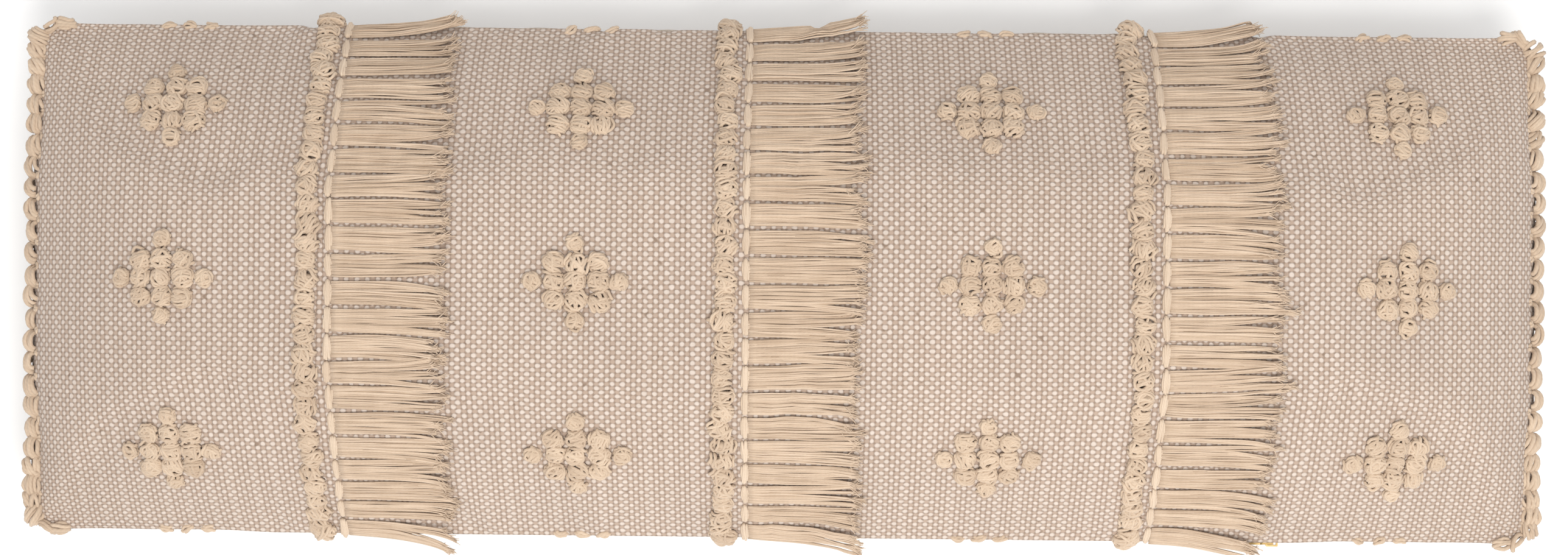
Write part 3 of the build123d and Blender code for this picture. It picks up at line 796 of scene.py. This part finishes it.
def bobble_strands(panel, u, v, along, width, height, scale=1.0):
    """Paths of curly bobbles: plies that curl round the foot, arc over it, and a thick core inside."""
    ply_radius = BOBBLE_PLY
    count = len(u)
    vectors = on_cloth_frame(panel, u, v)
    size = rng.uniform(0.92, 1.08, (count, 1)) * np.reshape(scale, (-1, 1))
    run = np.linspace(0, 1, 12)
    paths = []
    for ring in range(RINGS):
        angle = rng.uniform(0, TAU, (count, 1)) + run * rng.uniform(4.6, 6.0, (count, 1))
        outer = size * (1 - 0.12 * ring - 0.1 * np.sin(3 * angle + rng.uniform(0, TAU, (count, 1))))
        x = np.cos(angle) * (along / 2 - ply_radius) * outer
        y = np.sin(angle) * (width / 2 - ply_radius) * outer
        z = (0.7 + 1.5 * ring + 0.5 * np.sin(2 * angle + rng.uniform(0, TAU, (count, 1)))) * ply_radius
        paths.append(placed(vectors, x, y, z))
    loop_yaw = rng.normal(0, 0.7, (count, 1))
    theta = run * math.pi
    for arc in range(SIDE_BY_SIDE + CROSSING):
        if arc < SIDE_BY_SIDE:
            share = 2 * arc / (SIDE_BY_SIDE - 1) - 1
            yaw = loop_yaw + rng.normal(0, 0.2, (count, 1))
        else:
            share = rng.uniform(-0.6, 0.6)
            yaw = loop_yaw + rng.uniform(0.5, 2.6, (count, 1))
        narrow = math.sqrt(1 - 0.6 * share**2)
        reach = (along / 2 - ply_radius) * narrow * size * rng.uniform(0.85, 1.0, (count, 1))
        top = (height - ply_radius) * narrow * size * rng.uniform(0.82, 1.0, (count, 1))
        x = -np.cos(theta) * reach
        y = share * (width / 2 - ply_radius) * size + rng.normal(0, 0.3 * MM, (count, 1))
        y = y + rng.normal(0, 0.9 * MM, (count, 1)) * np.sin(theta) ** 2
        y = y + 0.4 * MM * np.sin(3 * theta + rng.uniform(0, TAU, (count, 1)))
        z = np.sin(theta) ** 0.7 * top
        turned_x = x * np.cos(yaw) - y * np.sin(yaw)
        turned_y = x * np.sin(yaw) + y * np.cos(yaw)
        paths.append(placed(vectors, turned_x, turned_y, z))
    core_radius = 0.55 * height
    core_x = -np.cos(theta) * (along / 2 - core_radius - ply_radius)
    core_z = 0 * core_x + 0.35 * height - 0.3 * core_radius * np.abs(np.cos(theta))
    paths.append(placed(vectors, core_x * size, 0 * core_x * size, core_z * size))
    plies = len(paths)
    paths = np.concatenate(paths)
    radii = np.full(paths.shape[:2], ply_radius) * rng.uniform(0.85, 1.1, (len(paths), 1))
    radii[-count:] = core_radius * size
    tint = 0.5 * np.tile(rng.random(count), plies) + 0.5 * rng.random(len(paths))
    reference = unit(vectors[3] + 0.3 * vectors[2])
    return paths, radii, np.tile(reference, (plies, 1)), tint


def joined(name, parts, material, sides=6, **riding):
    """Strands with different numbers of points as one piece."""
    points, faces, corner_uv, shades, start = [], [], [], [], 0
    for paths, radii, reference, tint in parts:
        more, more_faces, uv, owner = tube_mesh(paths, radii, reference, sides)
        faces += [[corner + start for corner in face] for face in more_faces]
        start += len(more)
        points.append(more)
        corner_uv.append(uv)
        shades.append(tint[owner])
    return new_piece(name, np.concatenate(points), faces, material, np.concatenate(corner_uv),
                     np.concatenate(shades), **riding)


def loops_piece(name, node, material, *groups, sides=6):
    """Groups of strands as one piece that stands for a node."""
    piece = joined(name, groups, material, sides, slot="trim_yarn")
    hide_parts(node)
    return piece


def node_middle(node):
    """X and Y of the middle of a node's box."""
    low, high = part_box(node)
    return (low[0] + high[0]) / 2, (low[1] + high[1]) / 2


def diamond_offsets():
    """Places of a diamond's 13 loops: columns of 1, 3, 5, 3 and 1."""
    offsets = []
    for column in range(-2, 3):
        for row in range(-2, 3):
            if abs(column) + abs(row) <= 2:
                offsets.append((column * LOOP_PITCH_X, row * LOOP_PITCH_Y))
    return np.array(offsets)


for row in range(1, 4):
    for column in range(1, 5):
        node = f"tuft_diamond_r{row}c{column}"
        middle_x, middle_y = node_middle(node)
        offsets = diamond_offsets()
        places = offsets + rng.normal(0, 0.4 * MM, offsets.shape)
        at_tip = np.abs(offsets).max(axis=1) > 1.5 * LOOP_PITCH_Y
        group = bobble_strands(front, x_to_flat(middle_x) + places[:, 0], y_to_flat(middle_y) + places[:, 1],
                               *TUFT, np.where(at_tip, TIP_SCALE, 1.0))
        loops_piece(node, node, tuft_yarn, group)

for name, side in (("upper", 1), ("lower", -1)):
    groups = []
    for column in range(1, 5):
        middle_u = x_to_flat(node_middle(f"tuft_diamond_r1c{column}")[0])
        spread = (np.arange(SEAM_TIPS) - (SEAM_TIPS - 1) / 2) * LOOP_PITCH_X + rng.normal(0, 1 * MM)
        beside_seam = np.full(SEAM_TIPS, side * (flat_half_width - 1 * MM))
        groups.append(loop_strands(front, middle_u + spread, beside_seam, *SEAM_TIP, plies=3,
                                   ply_radius=1.1 * MM))
    loops_piece(f"seam_tufts_{name}", f"seam_tufts_{name}", tuft_yarn, *groups)


# ---- ridges, headers and fringes -------------------------------------------------------------------
def fringe_strands(header_u, middles):
    """Strands of a band's bundles, flat on the cloth, and the short fibres at their ragged tips."""
    share = np.linspace(0, 1, 15)
    short = np.linspace(0, 1, 5)[:, None]
    paths, radii, sides = [], [], []
    wisps, wisp_sides = [], []
    for number, middle in enumerate(middles):
        drift = rng.normal(0, 1.1 * MM)
        from_end = min(number, len(middles) - 1 - number)
        drift += math.copysign(END_DRIFT / (1 + 2 * from_end**2), middle)
        bend = rng.normal(0, 0.8 * MM)
        reach = rng.uniform(*FRINGE_REACH) * MM
        width = rng.uniform(*BUNDLE_HALF_WIDTH) * MM
        clumps = np.linspace(-0.8, 0.8, CLUMPS) + rng.normal(0, 0.12, CLUMPS)
        clump_reach = rng.normal(0, 2.2 * MM, CLUMPS)
        clump_lift = rng.uniform(0, 3 * MM, CLUMPS)
        clump_drift = rng.normal(0, 1.6 * MM, CLUMPS)
        for strand in range(STRANDS):
            place = (strand + rng.uniform(-0.35, 0.35)) / (STRANDS - 1) * 2 - 1
            clump = int(np.argmin(np.abs(clumps - place)))
            gathered = place + (clumps[clump] - place) * 0.35 * share**4
            layer = rng.uniform(0, 1) * (1 - 0.5 * place**2)
            length = reach + clump_reach[clump] + rng.normal(0, 0.9 * MM)
            radius = rng.uniform(0.42, 0.64) * MM
            phase = rng.uniform(0, TAU, 2)
            wave = 0.2 * MM * np.sin(share * 9 + phase[0]) + 0.3 * MM * share * np.sin(share * 5 + phase[1])
            u = header_u + 1.6 * MM + share * length
            v = middle + gathered * width * (0.9 + 0.16 * share) + wave
            v = v + drift * share**2 + bend * share * (1 - share) + clump_drift[clump] * share**4
            on_cloth, normal = front.at(u, v)
            lift = radius + (0.2 + 1.2 * layer) * MM * np.clip(share * 9, 0.15, 1)
            lift = lift + 0.3 * MM * np.sin(share * 7 + phase[1]) * share + clump_lift[clump] * share**9
            if from_end == 0:
                lift = lift + 3 * MM * share**2
            path = on_cloth + normal * lift[:, None]
            paths.append(path)
            radii.append(radius * np.where(share > 0.95, 0.7, 1.0))
            sides.append(normal[7])
            ahead = unit(path[-1] - path[-3])
            for _ in range(WISPS):
                way = unit(ahead + rng.normal(0, 0.2, 3))
                droop = rng.normal(0, 1, 3) * MM
                wisps.append(path[-2] + way * short * rng.uniform(4, 7) * MM + droop * short**2)
                wisp_sides.append(normal[-1])
    long_part = (np.array(paths), np.array(radii), np.array(sides), rng.random(len(paths)))
    wisp_radii = np.tile(np.linspace(0.42, 0.16, 5) * MM, (len(wisps), 1))
    return long_part, (np.array(wisps), wisp_radii, np.array(wisp_sides), 0.6 + 0.4 * rng.random(len(wisps)))


for name in ("left", "centre", "right"):
    low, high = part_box(f"fringe_header_{name}")
    header_u = x_to_flat((low[0] + high[0]) / 2)
    ridge_u = x_to_flat(node_middle(f"loop_ridge_{name}")[0])
    count = int(2 * flat_half_width / LOOP_PITCH_Y)
    ridge_v = (np.arange(count) - (count - 1) / 2) * LOOP_PITCH_Y
    bow = 1.5 * MM * np.sin(ridge_v * 9 + rng.uniform(0, TAU)) + rng.normal(0, 0.8 * MM, count)
    ridge = bobble_strands(front, ridge_u + bow, ridge_v, *RIDGE_LOOP)
    end_v = np.array([-flat_half_width + 3 * MM, flat_half_width + 2.5 * MM])
    ends = bobble_strands(front, np.full(2, ridge_u + 1 * MM), end_v, *RIDGE_END)
    loops_piece(f"ridge_{name}", f"loop_ridge_{name}", tuft_yarn, ridge, ends)

    bundles = int(2 * flat_half_width / FRINGE_PITCH)
    middles = (2 * (np.arange(bundles) + 0.5) / bundles - 1) * (flat_half_width + 2 * MM)
    header = loop_strands(front, np.full(bundles, header_u), middles, *HEADER_LOOP, plies=5,
                          ply_radius=0.85 * MM, turn=0.03, lean=math.pi / 2, curl=0.25, roundness=0.2)
    loops_piece(f"header_{name}", f"fringe_header_{name}", header_yarn, header)

    loops_piece(f"fringe_{name}", f"fringe_band_{name}", fringe_yarn, *fringe_strands(header_u, middles),
                sides=5)


# ---- end braids ------------------------------------------------------------------------------------
for name, side in (("left", -1), ("right", 1)):
    count = int(2 * flat_half_width / BRAID_PITCH)
    steps = (np.arange(count) - (count - 1) / 2) * BRAID_PITCH + rng.normal(0, 0.6 * MM, count)
    chunky = loop_strands(front, np.full(count, side * (flat_half_length - 3.5 * MM)), steps, *BRAID_LOOP,
                          plies=6, turn=0.15, ply_radius=1.35 * MM, lean=math.pi / 2 - side * 0.25)
    stitch_u = np.full(count, side * (flat_half_length - 9.5 * MM))
    stitches = loop_strands(front, stitch_u, steps + BRAID_PITCH / 2, *BRAID_STITCH, plies=2,
                            ply_radius=1.1 * MM, turn=0.5)
    wrap_u, wrap_v = [], []
    for edge in (-1, 1):
        for step in range(CORNER_LOOPS):
            wrap_u.append(side * (flat_half_length - CORNER_STEP * (1 + step)))
            wrap_v.append(edge * (flat_half_width - 0.5 * MM))
    wrap = loop_strands(front, wrap_u, wrap_v, *CORNER_LOOP, plies=4, turn=0.2)
    loops_piece(f"end_braid_{name}", f"end_braid_{name}", tuft_yarn, chunky, stitches, wrap)


# ---- zipper ----------------------------------------------------------------------------------------
def tape_piece(name, low, high):
    """A thin woven strip in the box of its node, with a slight ripple."""
    columns, rows = 240, 5
    x, z = np.meshgrid(np.linspace(low[0], high[0], columns), np.linspace(low[2], high[2], rows))
    ripple_y = 0.12 * MM * np.sin(x * 160) * np.sin(z * 900)
    outer = np.stack([x, np.full_like(x, low[1]) + ripple_y, z], axis=-1).reshape(-1, 3)
    inner = np.stack([x, np.full_like(x, high[1]) + ripple_y, z], axis=-1).reshape(-1, 3)
    points = np.concatenate([outer, inner])
    faces = np.concatenate([grid_faces(rows, columns), grid_faces(rows, columns, False) + rows * columns])
    index = np.arange(rows * columns).reshape(rows, columns)
    rim = np.concatenate([index[0], index[1:, -1], index[-1, -2::-1], index[-2:0:-1, 0]])
    following = np.roll(rim, -1)
    sides = np.stack([rim, rim + rows * columns, following + rows * columns, following], axis=-1)
    faces = np.concatenate([faces, sides])
    corner_uv = points[faces.ravel()][:, [0, 2]]
    piece = new_piece(name, points, faces.tolist(), tape_cloth, corner_uv, slot="zipper_tape")
    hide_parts(name)


def coil_piece(name, side):
    """A nylon coil: one flattened turn after another, clear of the slider's divider."""
    low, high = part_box(name)
    turns = int((high[0] - low[0]) / COIL_PITCH) - 1
    phase = np.arange(turns * COIL_SIDES + 1) / COIL_SIDES
    angle = phase * TAU
    outer_edge = max(abs(low[2] - chain_height), abs(high[2] - chain_height)) - COIL_WIRE
    inner_edge = DIVIDER_ROOM + COIL_WIRE
    middle = (outer_edge + inner_edge) / 2
    x = low[0] + COIL_WIRE + phase * COIL_PITCH + (0.5 * COIL_PITCH if side > 0 else 0)
    y = (low[1] + high[1]) / 2 + ((high[1] - low[1]) / 2 - COIL_WIRE) * np.sin(angle)
    z = chain_height + side * (middle + (outer_edge - middle) * np.cos(angle))
    path = np.stack([x, y, z], axis=-1)[None]
    radii = np.full((1, len(x)), COIL_WIRE)
    points, faces, corner_uv, _ = tube_mesh(path, radii, np.array([[1.0, 0, 0]]), 5)
    piece = new_piece(name, points, faces, coil_nylon, corner_uv, slot="zipper_coil")
    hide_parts(name)


tape_piece("zipper_tape_upper", upper_tape_low, upper_tape_high)
tape_piece("zipper_tape_lower", tape_low, tape_high)
coil_piece("zipper_coil_upper", 1)
coil_piece("zipper_coil_lower", -1)

hem_y = tape_face - HEM_RADIUS
hem_x = np.linspace(-slot_half - 2 * MM, slot_half + 2 * MM, 160)
hems = []
for height in (slot_bottom, seam_height - 0.6 * MM):
    hems.append(np.stack([hem_x, np.full_like(hem_x, hem_y), np.full_like(hem_x, height)], axis=-1))
hem_paths = np.array(hems)
points, faces, corner_uv, _ = tube_mesh(hem_paths, np.full(hem_paths.shape[:2], HEM_RADIUS),
                                        np.tile([0.0, 0, 1], (2, 1)), 10)
new_piece("zipper_hems", points, faces, back_canvas, corner_uv * np.array([TAU * HEM_RADIUS, 1]),
          slot="back_canvas")
bar_z = np.linspace(slot_bottom - 1 * MM, seam_height, 8)
bars = []
for end in (-1, 1):
    for step in range(BAR_TACKS):
        x = end * (slot_half + 0.5 * MM - step * 0.7 * MM)
        bars.append(np.stack([np.full(8, x), np.full(8, hem_y - HEM_RADIUS + 0.3 * MM), bar_z], axis=-1))
bars = np.array(bars)
bar_strands = (bars, np.full(bars.shape[:2], BAR_TACK_RADIUS), np.tile([1.0, 0, 0], (len(bars), 1)),
               rng.random(len(bars)))
joined("zipper_bar_tacks", [bar_strands], seam_thread, slot="zipper_tape")

for node in ("zipper_slider", "zipper_pull", "zipper_top_stops", "zipper_bottom_stop"):
    for material_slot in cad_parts[node].material_slots:
        material_slot.material = brass
